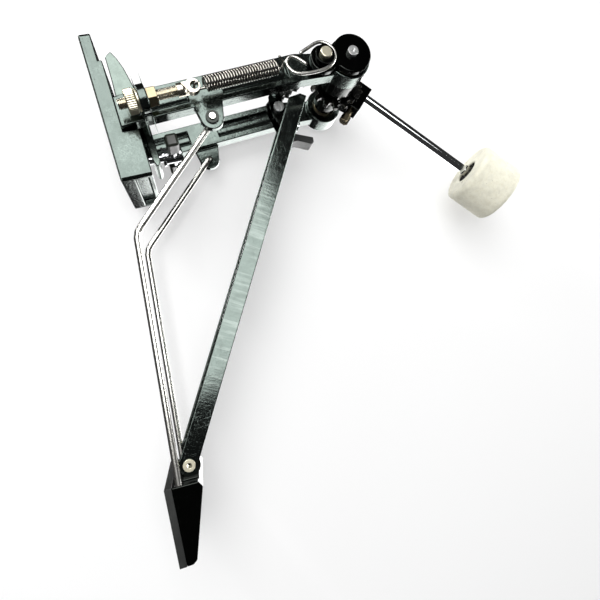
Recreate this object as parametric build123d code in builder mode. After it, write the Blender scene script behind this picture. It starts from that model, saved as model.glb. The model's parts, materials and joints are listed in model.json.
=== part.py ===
from build123d import *
import os
from math import cos, sin, radians, pi

# Frame: x towards the heel, z up from the underside of the base, the axle on x = 0.
# Axle and spring line
AXLE_Z = 203.7
PIN_X = 0.5
PIN_Z = 178.2
SPRING_Y = -61.0
SPRING_FOOT_X = 10.0
SPRING_FOOT_Z = 25.0
# Base casting
BASE_HALF_WIDTH = 40.0
LIP_FRONT_X = -59.4
LIP_BACK_X = -36.6
BLOCK_X = 11.6
BASE_BACK_X = 57.0
LIP_HEIGHT = 9.0
PLATE_HEIGHT = 12.0
BLOCK_HEIGHT = 24.0
# Posts
POST_FOOT_X = 7.9
POST_LEAN = 3.7
POST_HALF_DEPTH = 11.6
POST_IN_Y = 34.0
POST_OUT_Y = 46.0
LUG_X = 25.3
LUG_Z = 79.7
LUG_RADIUS = 9.0
LUG_IN_Y = 40.0
# Radius rods and heel
ROD_RADIUS = 2.5
ROD_Y = 36.3
ROD_BEND_X = 97.0
ROD_BEND_Z = -0.1
ROD_END_X = 284.5
ROD_END_Z = -22.0
HEEL_FRONT_X = 286.1
HEEL_BACK_X = 344.0
HEEL_LEAN = 4.65
HEEL_FLOOR_Z = -33.0
SOLE_THICKNESS = 5.5
HINGE_X = 277.0
HINGE_Z = -11.6
# Footboard, measured along its slope from the hinge
BOARD_SLOPE = 33.0
BOARD_LENGTH = 315.0
BOARD_HALF_WIDTH = 32.8
BOARD_TOP = 6.0
BOARD_BOTTOM = -8.0
BOARD_THICKNESS = 3.0
# Chain and sprocket
CHAIN_Y = -8.0
CHAIN_PITCH = 9.525
CHAIN_TEETH = 14
SPROCKET_RADIUS = CHAIN_PITCH / (2 * sin(pi / CHAIN_TEETH))
TANGENT_ANGLE = 203.4
STRAND_LINKS = 6
WRAP_LINKS = 6
# Beater, t along its rod and n across it from the axle
BEATER_BACK = 48.1
BEATER_Y = 6.0
BEATER_OFFSET = 17.6
BEATER_ROD_RADIUS = 3.75
FELT_START = 156.0
FELT_LENGTH = 43.0
FELT_RADIUS = 29.5
CHANNEL_RADIUS = 9.68
CHANNEL_SET = 7.08
# Hoop jaw
JAW_PIVOT_X = -8.0
JAW_PIVOT_Z = 22.0
JAW_HALF_WIDTH = 17.0
CLAMP_X = 30.1

os.makedirs("parts", exist_ok=True)


def box(x0, x1, y0, y1, z0, z1, mode=Mode.ADD):
    with Locations(((x0 + x1) / 2, (y0 + y1) / 2, (z0 + z1) / 2)):
        Box(x1 - x0, y1 - y0, z1 - z0, mode=mode)


def disc_y(x, z, y0, y1, radius, mode=Mode.ADD):
    with BuildSketch(Plane.XZ.offset(-y1)) as shape:
        with Locations((x, z)):
            Circle(radius)
    extrude(shape.sketch, amount=y1 - y0, mode=mode)


def slab_y(points, y0, y1, mode=Mode.ADD):
    with BuildSketch(Plane.XZ.offset(-y1)) as shape:
        with BuildLine():
            Polyline(*points, close=True)
        make_face()
    extrude(shape.sketch, amount=y1 - y0, mode=mode)


def disc_z(x, y, z0, z1, radius, mode=Mode.ADD):
    with BuildSketch(Plane.XY.offset(z0)) as shape:
        with Locations((x, y)):
            Circle(radius)
    extrude(shape.sketch, amount=z1 - z0, mode=mode)


def rod_along(start, direction, a0, a1, radius, mode=Mode.ADD):
    d = Vector(*direction).normalized()
    with BuildSketch(Plane(origin=Vector(*start) + d * a0, z_dir=d)) as shape:
        Circle(radius)
    extrude(shape.sketch, amount=a1 - a0, mode=mode)


def hex_along(start, direction, a0, a1, flats, mode=Mode.ADD):
    d = Vector(*direction).normalized()
    with BuildSketch(Plane(origin=Vector(*start) + d * a0, z_dir=d)) as shape:
        RegularPolygon(flats / 2, 6, major_radius=False)
    extrude(shape.sketch, amount=a1 - a0, mode=mode)


def wire_through(points, radius, bend=0.0, mode=Mode.ADD):
    with BuildLine() as path:
        if bend > 0:
            FilletPolyline(*points, radius=bend)
        else:
            Spline(*points)
    with BuildSketch(Plane(origin=path.line @ 0, z_dir=path.line % 0)) as shape:
        Circle(radius)
    sweep(shape.sketch, path=path.line, mode=mode)


def post_point(u, w):
    a = radians(POST_LEAN)
    return (POST_FOOT_X + u * cos(a) - w * sin(a), u * sin(a) + w * cos(a))


def board_point(f, n):
    a = radians(BOARD_SLOPE)
    return (HINGE_X - f * cos(a) + n * sin(a), HINGE_Z + f * sin(a) + n * cos(a))


def beater_point(t, n):
    a = radians(BEATER_BACK)
    return (t * sin(a) - n * cos(a), AXLE_Z + t * cos(a) + n * sin(a))


def heel_point(h, k):
    a = radians(HEEL_LEAN)
    return (HEEL_FRONT_X + h * cos(a) + k * sin(a), HEEL_FLOOR_Z - h * sin(a) + k * cos(a))


def ring_point(angle, radius):
    return (radius * cos(radians(angle)), AXLE_Z + radius * sin(radians(angle)))


def link_plate(p, q, y0, y1, mode=Mode.ADD):
    with BuildSketch(Plane.XZ.offset(-y1)) as shape:
        with Locations(((p[0] + q[0]) / 2, (p[1] + q[1]) / 2)):
            Rectangle(CHAIN_PITCH, 5.4, rotation=line_angle(p, q))
        with Locations(p, q):
            Circle(3.8)
    extrude(shape.sketch, amount=y1 - y0, mode=mode)


def line_angle(p, q):
    return Vector(1, 0).get_signed_angle(Vector(q[0] - p[0], q[1] - p[1]))


# Base casting
with BuildPart() as base_casting:
    box(LIP_FRONT_X, LIP_BACK_X, -BASE_HALF_WIDTH, BASE_HALF_WIDTH, 0, LIP_HEIGHT)
    box(LIP_BACK_X, BASE_BACK_X, -BASE_HALF_WIDTH, BASE_HALF_WIDTH, 0, PLATE_HEIGHT)
    box(BLOCK_X, BASE_BACK_X, -BASE_HALF_WIDTH, BASE_HALF_WIDTH, PLATE_HEIGHT, BLOCK_HEIGHT)
    for s in (-1, 1):
        y_near, y_far = sorted((s * 26.6, s * 41.0))
        box(BLOCK_X - 1, 20.4, y_near, y_far, PLATE_HEIGHT, BLOCK_HEIGHT + 1, mode=Mode.SUBTRACT)
    upright = base_casting.edges().filter_by(Axis.Z)
    outer = upright.filter_by(lambda e: abs(abs(e.center().Y) - BASE_HALF_WIDTH) < 0.1)
    corners = outer.filter_by(lambda e: e.center().X < -50 or e.center().X > 50)
    fillet(corners, 3.0)
    for s in (-1, 1):
        y_near, y_far = sorted((s * 19.5, s * 25.5))
        ear = [(-16, 11.5), (0, 11.5), (-3, 25), (-5.5, 28), (-10.5, 28), (-13, 25)]
        slab_y(ear, y_near, y_far)
    disc_y(JAW_PIVOT_X, JAW_PIVOT_Z, -26, 26, 3.0, mode=Mode.SUBTRACT)
    for y in (-30.5, 30.5):
        for x in (1.5, 13.5):
            disc_z(x, y, -1, 20, 3.05, mode=Mode.SUBTRACT)
            disc_z(x, y, -1, 6, 5.1, mode=Mode.SUBTRACT)
    box(BASE_BACK_X - 5, BASE_BACK_X + 1, -35.0, 35.0, 10.5, 20.5, mode=Mode.SUBTRACT)
    chamfer(base_casting.faces().sort_by(Axis.Z)[0].outer_wire().edges(), 0.8)
base_casting.part.label = "base_casting"
export_step(base_casting.part, "parts/base_casting.step")

# Posts with a channel down each broad side, a lug for the radius rod and a head for the axle
for name, s in (("left_post", -1), ("right_post", 1)):
    with BuildPart() as post:
        y0, y1 = sorted((s * POST_IN_Y, s * POST_OUT_Y))
        foot = [(-3.7, PLATE_HEIGHT), (19.4, PLATE_HEIGHT), post_point(POST_HALF_DEPTH, 22),
                post_point(-POST_HALF_DEPTH, 22)]
        slab_y(foot, y0, y1)
        shaft = [post_point(-POST_HALF_DEPTH, 16), post_point(POST_HALF_DEPTH, 16),
                 post_point(POST_HALF_DEPTH, 160), post_point(14.5, 196), post_point(-4, 196),
                 post_point(-POST_HALF_DEPTH, 160)]
        slab_y(shaft, y0, y1)
        post_up = (-sin(radians(POST_LEAN)), 0, cos(radians(POST_LEAN)))
        for w0, w1 in ((24, 66), (94, 150)):
            for y in (s * (POST_IN_Y - CHANNEL_SET), s * (POST_OUT_Y + CHANNEL_SET)):
                rod_along((POST_FOOT_X, y, 0), post_up, w0, w1, CHANNEL_RADIUS, mode=Mode.SUBTRACT)
        step_y0, step_y1 = sorted((s * 26.8, s * 35.0))
        box(-3.7, 19.4, step_y0, step_y1, PLATE_HEIGHT, 19.8)
        for x in (1.5, 13.5):
            disc_z(x, s * 30.5, 11, 18.2, 3.05, mode=Mode.SUBTRACT)
        lug_y0, lug_y1 = sorted((s * LUG_IN_Y, s * POST_OUT_Y))
        lug = [post_point(8, 68), post_point(POST_HALF_DEPTH, 68), (LUG_X + 2, LUG_Z - 8.8),
               (LUG_X + 2, LUG_Z + 8.8), post_point(POST_HALF_DEPTH, 91), post_point(8, 91)]
        slab_y(lug, lug_y0, lug_y1)
        disc_y(LUG_X, LUG_Z, lug_y0, lug_y1, LUG_RADIUS)
        disc_y(LUG_X, LUG_Z, lug_y0 - 1, lug_y1 + 1, ROD_RADIUS + 0.08, mode=Mode.SUBTRACT)
        head_y0, head_y1 = (-51.0, -POST_IN_Y) if s < 0 else (30.0, 50.0)
        disc_y(0, AXLE_Z, head_y0, head_y1, 18.0 if s < 0 else 17.0)
        disc_y(0, AXLE_Z, -60, 60, 7.0, mode=Mode.SUBTRACT)
        if s < 0:
            disc_y(0, AXLE_Z, -52, -43, 11.03, mode=Mode.SUBTRACT)
            foot_at = (SPRING_FOOT_X, SPRING_Y, SPRING_FOOT_Z)
            along = (PIN_X - SPRING_FOOT_X, 0, PIN_Z - SPRING_FOOT_Z)
            box(-1.5, 19.0, -54, -45, 29.6, 35.6)
            rod_along(foot_at, along, 4.6, 10.6, 10.0)
            rod_along(foot_at, along, 0, 16, 4.08, mode=Mode.SUBTRACT)
        else:
            disc_y(0, AXLE_Z, 29, 37, 11.03, mode=Mode.SUBTRACT)
    post.part.label = name
    export_step(post.part, "parts/" + name + ".step")

with BuildPart() as post_bolts:
    for y in (-30.5, 30.5):
        for x in (1.5, 13.5):
            disc_z(x, y, 1.0, 6.0, 4.9)
            disc_z(x, y, 5.9, 17.8, 3.0)
            hex_along((x, y, 0), (0, 0, 1), 0.9, 3.5, 5.0, mode=Mode.SUBTRACT)
post_bolts.part.label = "post_bolts"
export_step(post_bolts.part, "parts/post_bolts.step")

with BuildPart() as jaw_pivot_pin:
    disc_y(JAW_PIVOT_X, JAW_PIVOT_Z, -26.5, 26.5, 2.97)
    chamfer(jaw_pivot_pin.edges(), 0.6)
jaw_pivot_pin.part.label = "jaw_pivot_pin"
export_step(jaw_pivot_pin.part, "parts/jaw_pivot_pin.step")

# Bearings, the sleeve between the near head and the sprocket, and the ring behind the crank
with BuildPart() as axle_bearings:
    for y0, y1 in ((-50.2, -43.2), (-23.2, -16.2), (30.0, 36.9)):
        disc_y(0, AXLE_Z, y0, y1, 10.98)
        disc_y(0, AXLE_Z, y0 - 0.1, y0 + 0.5, 9.0, mode=Mode.SUBTRACT)
        disc_y(0, AXLE_Z, y0, y0 + 1.0, 5.8)
        disc_y(0, AXLE_Z, y0 - 1, y1 + 1, 4.05, mode=Mode.SUBTRACT)
axle_bearings.part.label = "axle_bearings"
export_step(axle_bearings.part, "parts/axle_bearings.step")

with BuildPart() as axle_sleeve:
    disc_y(0, AXLE_Z, -33.9, -18.4, 17.6)
    disc_y(0, AXLE_Z, -18.5, -16.0, 14.6)
    disc_y(0, AXLE_Z, -23.3, -15.0, 11.03, mode=Mode.SUBTRACT)
    disc_y(0, AXLE_Z, -35.0, -22.0, 7.0, mode=Mode.SUBTRACT)
axle_sleeve.part.label = "axle_sleeve"
export_step(axle_sleeve.part, "parts/axle_sleeve.step")

with BuildPart() as bearing_ring:
    disc_y(0, AXLE_Z, -52.0, -51.05, 15.4)
    disc_y(0, AXLE_Z, -53.0, -50.0, 11.2, mode=Mode.SUBTRACT)
bearing_ring.part.label = "bearing_ring"
export_step(bearing_ring.part, "parts/bearing_ring.step")

# Hoop jaw and its clamp screw
with BuildPart() as hoop_jaw:
    side = [(-57.0, 19.4), (-54.0, 15.0), (-52.4, 14.2), (-38.0, 14.1), (-30.0, 13.9), (-18.0, 13.3),
            (-8.0, 13.0), (1.0, 15.0), (9.2, 25.9), (38.0, 27.4), (42.5, 29.0), (43.0, 31.0),
            (39.2, 33.1), (8.3, 32.5), (-25.0, 29.5), (-42.0, 26.0), (-51.0, 22.8)]
    slab_y(side, -JAW_HALF_WIDTH, JAW_HALF_WIDTH)
    disc_y(JAW_PIVOT_X, JAW_PIVOT_Z, -20, 20, 3.03, mode=Mode.SUBTRACT)
    disc_z(CLAMP_X, 0, 20, 40, 4.06, mode=Mode.SUBTRACT)
    long_edges = hoop_jaw.edges().filter_by(Axis.Y).sort_by(Axis.Z)[-4:]
    fillet(long_edges, 1.2)
hoop_jaw.part.label = "hoop_jaw"
export_step(hoop_jaw.part, "parts/hoop_jaw.step")

with BuildPart() as clamp_washer:
    disc_z(CLAMP_X, 0, 35.8, 37.8, 8.0)
    disc_z(CLAMP_X, 0, 35.0, 39.0, 4.06, mode=Mode.SUBTRACT)
clamp_washer.part.label = "clamp_washer"
export_step(clamp_washer.part, "parts/clamp_washer.step")

with BuildPart() as wing_bolt:
    disc_z(CLAMP_X, 0, 24.4, 40.0, 4.0)
    disc_z(CLAMP_X, 0, 38.2, 53.0, 6.5)
    disc_y(CLAMP_X, 45.6, -12.6, 12.6, 4.6)
    disc_y(CLAMP_X, 45.6, -30.0, 30.0, 2.5)
    chamfer(wing_bolt.faces().sort_by(Axis.Z)[-1].edges(), 1.0)
wing_bolt.part.label = "wing_bolt"
export_step(wing_bolt.part, "parts/wing_bolt.step")

with BuildPart() as wing_grips:
    for s in (-1, 1):
        y0, y1 = sorted((s * 12.8, s * 32.5))
        box(CLAMP_X - 5.2, CLAMP_X + 5.2, y0, y1, 40.6, 50.6)
    fillet(wing_grips.edges(), 2.2)
    disc_y(CLAMP_X, 45.6, -30.3, 30.3, 2.55, mode=Mode.SUBTRACT)
wing_grips.part.label = "wing_grips"
export_step(wing_grips.part, "parts/wing_grips.step")

# Spring tension adjuster, built along the line from its foot to the crank pin
foot_at = (SPRING_FOOT_X, SPRING_Y, SPRING_FOOT_Z)
along = (PIN_X - SPRING_FOOT_X, 0, PIN_Z - SPRING_FOOT_Z)
line_dir = Vector(*along).normalized()


def on_line(s, dx=0.0, dy=0.0):
    side_dir = Vector(line_dir.Z, 0, -line_dir.X)
    p = Vector(*foot_at) + line_dir * s + side_dir * dx + Vector(0, dy, 0)
    return (p.X, p.Y, p.Z)


with BuildPart() as knurled_nut:
    rod_along(foot_at, along, -4.6, 2.8, 9.0)
    chamfer(knurled_nut.edges(), 0.6)
    rod_along(foot_at, along, -6, 4, 4.06, mode=Mode.SUBTRACT)
    for i in range(36):
        a = 2 * pi * i / 36
        groove = on_line(-5.5, 9.15 * cos(a), 9.15 * sin(a))
        rod_along(groove, along, 0, 10, 0.42, mode=Mode.SUBTRACT)
knurled_nut.part.label = "knurled_nut"
export_step(knurled_nut.part, "parts/knurled_nut.step")

with BuildPart() as tension_washer:
    rod_along(foot_at, along, 3.2, 4.4, 8.2)
    rod_along(foot_at, along, 2, 6, 4.08, mode=Mode.SUBTRACT)
tension_washer.part.label = "tension_washer"
export_step(tension_washer.part, "parts/tension_washer.step")

with BuildPart() as lock_nut:
    hex_along(foot_at, along, 10.8, 17.6, 13.0)
    rod_along(foot_at, along, 9, 20, 4.06, mode=Mode.SUBTRACT)
lock_nut.part.label = "lock_nut"
export_step(lock_nut.part, "parts/lock_nut.step")

with BuildPart() as adjusting_rod:
    rod_along(foot_at, along, -10.5, 34.0, 4.0)
    rod_along(foot_at, along, 33.0, 37.0, 5.0)
    eye_plane = Plane(origin=on_line(43.8), x_dir=Vector(line_dir.Z, 0, -line_dir.X), z_dir=(0, -1, 0))
    with BuildSketch(eye_plane.offset(-2.6)):
        with Locations((0, 0.9)):
            Circle(5.4)
        with Locations((0, -4)):
            Rectangle(8.0, 8.0)
    extrude(amount=5.2)
    with BuildSketch(eye_plane.offset(-5)):
        with Locations((0, 2.2)):
            Circle(2.3)
    extrude(amount=10, mode=Mode.SUBTRACT)
adjusting_rod.part.label = "adjusting_rod"
export_step(adjusting_rod.part, "parts/adjusting_rod.step")

# Extension spring with a loop at each end
COIL_START = 54.0
COIL_TURNS = 27
COIL_PITCH = 2.15
COIL_RADIUS = 5.0
with BuildPart() as spring_coil:
    coil_plane = Plane(origin=on_line(COIL_START), x_dir=(0, 1, 0), z_dir=line_dir)
    coil_height = COIL_TURNS * COIL_PITCH
    with BuildLine(coil_plane) as coil:
        Helix(COIL_PITCH, coil_height, COIL_RADIUS)
    with BuildSketch(Plane(origin=coil.line @ 0, z_dir=coil.line % 0)):
        Circle(1.0)
    sweep(path=coil.line, is_frenet=True)
    low_hook = [on_line(COIL_START + 1.0, 0, 5.0), on_line(COIL_START - 2.5, 0, 5.2),
                on_line(COIL_START - 6.6, 0, 4.6), on_line(COIL_START - 8.0, 0, 2.2),
                on_line(COIL_START - 8.2, 0, 0), on_line(COIL_START - 7.6, 0, -3.0),
                on_line(COIL_START - 5.5, 0, -5.0)]
    wire_through(low_hook, 0.95)
    top = COIL_START + coil_height
    high_hook = [on_line(top - 1.0, 0, 5.0), on_line(top + 2.2, 0, 4.6), on_line(top + 4.6, 0, 2.8),
                 on_line(top + 6.6, -3.2, 0.4), on_line(top + 4.4, -6.4, -2.2)]
    wire_through(high_hook, 0.95)
spring_coil.part.label = "spring_coil"
export_step(spring_coil.part, "parts/spring_coil.step")

# Bent wire stirrup round the roller on the crank pin
STIRRUP = [(4.3, 161.0), (-1.2, 155.2), (-3.2, 151.0), (-1.9, 147.5), (1.6, 145.6), (5.4, 146.4),
           (9.7, 149.8), (11.6, 156.2), (12.0, 165.2), (11.1, 174.8), (7.9, 182.4), (2.2, 186.8),
           (-3.4, 186.8), (-8.0, 183.8), (-10.8, 178.6), (-10.6, 173.6), (-7.6, 165.8), (-5.0, 159.4)]
with BuildPart() as stirrup_wire:
    wire_through([(x, SPRING_Y, z) for x, z in STIRRUP], 1.15)
stirrup_wire.part.label = "stirrup_wire"
export_step(stirrup_wire.part, "parts/stirrup_wire.step")

# Axle, crank and its pin
with BuildPart() as axle_shaft:
    disc_y(0, AXLE_Z, -52.4, 47.0, 4.0)
    disc_y(0, AXLE_Z, -53.0, -38.0, 2.55, mode=Mode.SUBTRACT)
axle_shaft.part.label = "axle_shaft"
export_step(axle_shaft.part, "parts/axle_shaft.step")

with BuildPart() as crank_plate:
    disc_y(0, AXLE_Z, -58.0, -52.6, 16.4)
    disc_y(PIN_X, PIN_Z + 0.6, -58.0, -52.6, 11.4)
    slab_y([(-9.5, 190), (-9.5, 200), (9.5, 200), (9.5, 186), (9.0, 180), (-9.0, 180)], -58.0, -52.6)
    fillet(crank_plate.faces().sort_by(Axis.Y)[0].edges(), 1.0)
    disc_y(0, AXLE_Z, -60, -50, 2.6, mode=Mode.SUBTRACT)
    disc_y(PIN_X, PIN_Z, -60, -50, 3.03, mode=Mode.SUBTRACT)
crank_plate.part.label = "crank_plate"
export_step(crank_plate.part, "parts/crank_plate.step")

with BuildPart() as crank_screw:
    disc_y(0, AXLE_Z, -61.2, -58.05, 4.3)
    disc_y(0, AXLE_Z, -58.1, -40.0, 2.5)
    hex_along((0, -62, AXLE_Z), (0, 1, 0), 0, 2.8, 3.0, mode=Mode.SUBTRACT)
crank_screw.part.label = "crank_screw"
export_step(crank_screw.part, "parts/crank_screw.step")

with BuildPart() as crank_pin:
    disc_y(PIN_X, PIN_Z, -64.0, -52.7, 3.0)
    disc_y(PIN_X, PIN_Z, -67.2, -64.0, 4.7)
    fillet(crank_pin.faces().sort_by(Axis.Y)[0].edges(), 0.8)
crank_pin.part.label = "crank_pin"
export_step(crank_pin.part, "parts/crank_pin.step")

with BuildPart() as pin_roller:
    disc_y(PIN_X, PIN_Z, -63.0, -58.1, 6.5)
    disc_y(PIN_X, PIN_Z, -63.95, -63.0, 8.0)
    disc_y(PIN_X, PIN_Z, -65, -57, 3.05, mode=Mode.SUBTRACT)
pin_roller.part.label = "pin_roller"
export_step(pin_roller.part, "parts/pin_roller.step")

# Sprocket and the chain wrapped over it
with BuildPart() as sprocket:
    disc_y(0, AXLE_Z, CHAIN_Y - 2.2, CHAIN_Y + 2.2, 23.0)
    for i in range(CHAIN_TEETH):
        x, z = ring_point(TANGENT_ANGLE + i * 360 / CHAIN_TEETH, SPROCKET_RADIUS)
        disc_y(x, z, CHAIN_Y - 3, CHAIN_Y + 3, 2.6, mode=Mode.SUBTRACT)
        x, z = ring_point(TANGENT_ANGLE + i * 360 / CHAIN_TEETH, SPROCKET_RADIUS + 2.4)
        disc_y(x, z, CHAIN_Y - 3, CHAIN_Y + 3, 3.5, mode=Mode.SUBTRACT)
    disc_y(0, AXLE_Z, -14.0, -2.0, 11.0)
    for a in (0, 120, 240):
        x, z = ring_point(a, 15.2)
        disc_y(x, z, CHAIN_Y - 3, CHAIN_Y + 3, 2.3, mode=Mode.SUBTRACT)
    disc_y(0, AXLE_Z, -20, 0, 4.02, mode=Mode.SUBTRACT)
sprocket.part.label = "sprocket"
export_step(sprocket.part, "parts/sprocket.step")

with BuildPart() as chain_wrap:
    step = 360 / CHAIN_TEETH
    stops = [ring_point(TANGENT_ANGLE - i * step, SPROCKET_RADIUS) for i in range(WRAP_LINKS + 1)]
    for i, p in enumerate(stops):
        inner_only = i == 0
        disc_y(p[0], p[1], CHAIN_Y - 2.8, CHAIN_Y + 2.8, 2.5)
        half = 3.95 if inner_only else 5.6
        disc_y(p[0], p[1], CHAIN_Y - half, CHAIN_Y + half, 1.5)
    for i in range(WRAP_LINKS):
        a, b = (2.6, 3.95) if i % 2 == 0 else (4.1, 5.2)
        link_plate(stops[i], stops[i + 1], CHAIN_Y - b, CHAIN_Y - a)
        link_plate(stops[i], stops[i + 1], CHAIN_Y + a, CHAIN_Y + b)
chain_wrap.part.label = "chain_wrap"
export_step(chain_wrap.part, "parts/chain_wrap.step")

# Chain strand from the sprocket down to the toe pin
tangent = ring_point(TANGENT_ANGLE, SPROCKET_RADIUS)
down = (-sin(radians(TANGENT_ANGLE)), cos(radians(TANGENT_ANGLE)))
strand_pins = []
for i in range(STRAND_LINKS + 1):
    strand_pins.append((tangent[0] + down[0] * CHAIN_PITCH * i, tangent[1] + down[1] * CHAIN_PITCH * i))
with BuildPart() as chain_strand:
    for p in strand_pins[1:-1]:
        disc_y(p[0], p[1], CHAIN_Y - 2.8, CHAIN_Y + 2.8, 2.5)
        disc_y(p[0], p[1], CHAIN_Y - 5.8, CHAIN_Y + 5.8, 1.5)
    for i in range(STRAND_LINKS):
        a, b = (4.3, 5.4) if i % 2 == 0 else (2.6, 3.9)
        link_plate(strand_pins[i], strand_pins[i + 1], CHAIN_Y - b, CHAIN_Y - a)
        link_plate(strand_pins[i], strand_pins[i + 1], CHAIN_Y + a, CHAIN_Y + b)
    disc_y(strand_pins[-1][0], strand_pins[-1][1], CHAIN_Y - 9, CHAIN_Y + 9, 1.56, mode=Mode.SUBTRACT)
chain_strand.part.label = "chain_strand"
export_step(chain_strand.part, "parts/chain_strand.step")

# Beater clamp, its screw, the collar and washer beside it
with BuildPart() as beater_clamp:
    disc_y(0, AXLE_Z, -1.5, 14.0, 12.8)
    arm = [beater_point(4, -8), beater_point(20, -3), beater_point(20, 13), beater_point(2, 10)]
    slab_y(arm, -1.5, 14.0)
    block = [beater_point(18, -3), beater_point(31.5, -3), beater_point(31.5, 24), beater_point(18, 24)]
    slab_y(block, -2.0, 14.5)
    rod_at = beater_point(0, BEATER_OFFSET)
    rod_dir = (sin(radians(BEATER_BACK)), 0, cos(radians(BEATER_BACK)))
    rod_start = (rod_at[0], BEATER_Y, rod_at[1])
    rod_along(rod_start, rod_dir, 8, 40, BEATER_ROD_RADIUS + 0.06, mode=Mode.SUBTRACT)
    disc_y(0, AXLE_Z, -5, 20, 4.02, mode=Mode.SUBTRACT)
    screw_at = beater_point(24.7, 0)
    screw_start = (screw_at[0], BEATER_Y, screw_at[1])
    screw_dir = (-cos(radians(BEATER_BACK)), 0, sin(radians(BEATER_BACK)))
    rod_along(screw_start, screw_dir, -10, 13.5, 3.03, mode=Mode.SUBTRACT)
beater_clamp.part.label = "beater_clamp"
export_step(beater_clamp.part, "parts/beater_clamp.step")

with BuildPart() as beater_clamp_screw:
    rod_along(screw_start, screw_dir, -9.0, 13.3, 3.0)
    hex_along(screw_start, screw_dir, -17.0, -9.0, 8.0)
beater_clamp_screw.part.label = "beater_clamp_screw"
export_step(beater_clamp_screw.part, "parts/beater_clamp_screw.step")

with BuildPart() as axle_collar:
    disc_y(0, AXLE_Z, 15.0, 24.0, 11.5)
    disc_y(0, AXLE_Z, 14.0, 25.0, 4.02, mode=Mode.SUBTRACT)
axle_collar.part.label = "axle_collar"
export_step(axle_collar.part, "parts/axle_collar.step")

with BuildPart() as axle_washer:
    disc_y(0, AXLE_Z, 24.2, 27.4, 8.6)
    disc_y(0, AXLE_Z, 23.0, 29.0, 4.02, mode=Mode.SUBTRACT)
axle_washer.part.label = "axle_washer"
export_step(axle_washer.part, "parts/axle_washer.step")

# Beater
with BuildPart() as beater_rod:
    rod_along(rod_start, rod_dir, 8.0, FELT_START + FELT_LENGTH - 6.0, BEATER_ROD_RADIUS)
    chamfer(beater_rod.edges(), 0.6)
beater_rod.part.label = "beater_rod"
export_step(beater_rod.part, "parts/beater_rod.step")

with BuildPart() as felt_head:
    rod_along(rod_start, rod_dir, FELT_START, FELT_START + FELT_LENGTH, FELT_RADIUS)
    fillet(felt_head.edges(), 4.5)
    rod_along(rod_start, rod_dir, FELT_START - 1, FELT_START + 2.2, 11.2, mode=Mode.SUBTRACT)
    far = FELT_START + FELT_LENGTH
    rod_along(rod_start, rod_dir, far - 7.0, far + 1, 11.2, mode=Mode.SUBTRACT)
    rod_along(rod_start, rod_dir, FELT_START - 1, far + 1, BEATER_ROD_RADIUS + 0.03, mode=Mode.SUBTRACT)
felt_head.part.label = "felt_head"
export_step(felt_head.part, "parts/felt_head.step")

with BuildPart() as felt_washers:
    for a0 in (FELT_START + 0.9, far - 6.95):
        rod_along(rod_start, rod_dir, a0, a0 + 1.3, 11.0)
    rod_along(rod_start, rod_dir, FELT_START - 2, far + 2, BEATER_ROD_RADIUS + 0.03, mode=Mode.SUBTRACT)
felt_washers.part.label = "felt_washers"
export_step(felt_washers.part, "parts/felt_washers.step")

with BuildPart() as felt_nuts:
    hex_along(rod_start, rod_dir, FELT_START - 3.2, FELT_START + 0.85, 10.0)
    hex_along(rod_start, rod_dir, far - 5.6, far - 1.6, 10.0)
    rod_along(rod_start, rod_dir, FELT_START - 6, far - 5.9, BEATER_ROD_RADIUS + 0.03, mode=Mode.SUBTRACT)
felt_nuts.part.label = "felt_nuts"
export_step(felt_nuts.part, "parts/felt_nuts.step")

# Radius rods, each bent outward through its lug
for name, s in (("left_radius_rod", -1), ("right_radius_rod", 1)):
    with BuildPart() as rod:
        y = s * ROD_Y
        route = [(LUG_X, s * 49.0, LUG_Z), (LUG_X, y, LUG_Z)]
        for t in (-1.0, -0.5, 0.0, 0.5, 1.0):
            x = ROD_BEND_X + 3.9 * t + (1.2 - 1.2 * t * t) * -0.55
            z = ROD_BEND_Z + (-4.3 * t if t < 0 else -0.45 * t) + 1.35 * (1 - t * t)
            route.append((x, y, z))
        route.append((ROD_END_X + 13.0, y, ROD_END_Z - 1.5))
        wire_through(route, ROD_RADIUS, bend=3.4)
    rod.part.label = name
    export_step(rod.part, "parts/" + name + ".step")

with BuildPart() as rod_clips:
    for s in (-1, 1):
        y0, y1 = sorted((s * 46.4, s * 47.6))
        disc_y(LUG_X, LUG_Z, y0, y1, 5.2)
    disc_y(LUG_X, LUG_Z, -50, 50, ROD_RADIUS + 0.02, mode=Mode.SUBTRACT)
rod_clips.part.label = "rod_clips"
export_step(rod_clips.part, "parts/rod_clips.step")

# Heel plate with two hinge ears, its rubber sole and the hinge rivets
with BuildPart() as heel_plate:
    side = [heel_point(0, SOLE_THICKNESS), heel_point(57.8, SOLE_THICKNESS), heel_point(57.8, 10.0),
            heel_point(55.5, 13.2), heel_point(4.6, 27.7), heel_point(0.5, 25.0)]
    slab_y(side, -BASE_HALF_WIDTH, BASE_HALF_WIDTH)
    fillet(heel_plate.edges().filter_by(Axis.Y).sort_by(Axis.Z)[-2:], 1.5)
    mouth = [heel_point(-2, 8.5), heel_point(8.5, 8.5), heel_point(8.5, 19.0), heel_point(-2, 21.0)]
    slab_y(mouth, -20, 20, mode=Mode.SUBTRACT)
    for s in (-1, 1):
        y0, y1 = sorted((s * 26.2, s * 29.6))
        ear = [heel_point(3, 12), heel_point(3, 25), (HINGE_X + 1, HINGE_Z + 7.6), (HINGE_X, HINGE_Z - 7.6)]
        slab_y(ear, y0, y1)
        disc_y(HINGE_X, HINGE_Z, y0, y1, 7.6)
    disc_y(HINGE_X, HINGE_Z, -35, 35, 3.02, mode=Mode.SUBTRACT)
    for s in (-1, 1):
        lean_dir = (ROD_END_X - ROD_BEND_X, 0, ROD_END_Z - ROD_BEND_Z)
        rod_along((ROD_BEND_X, s * ROD_Y, ROD_BEND_Z), lean_dir, 180, 202.3, 2.55, mode=Mode.SUBTRACT)
heel_plate.part.label = "heel_plate"
export_step(heel_plate.part, "parts/heel_plate.step")

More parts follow.
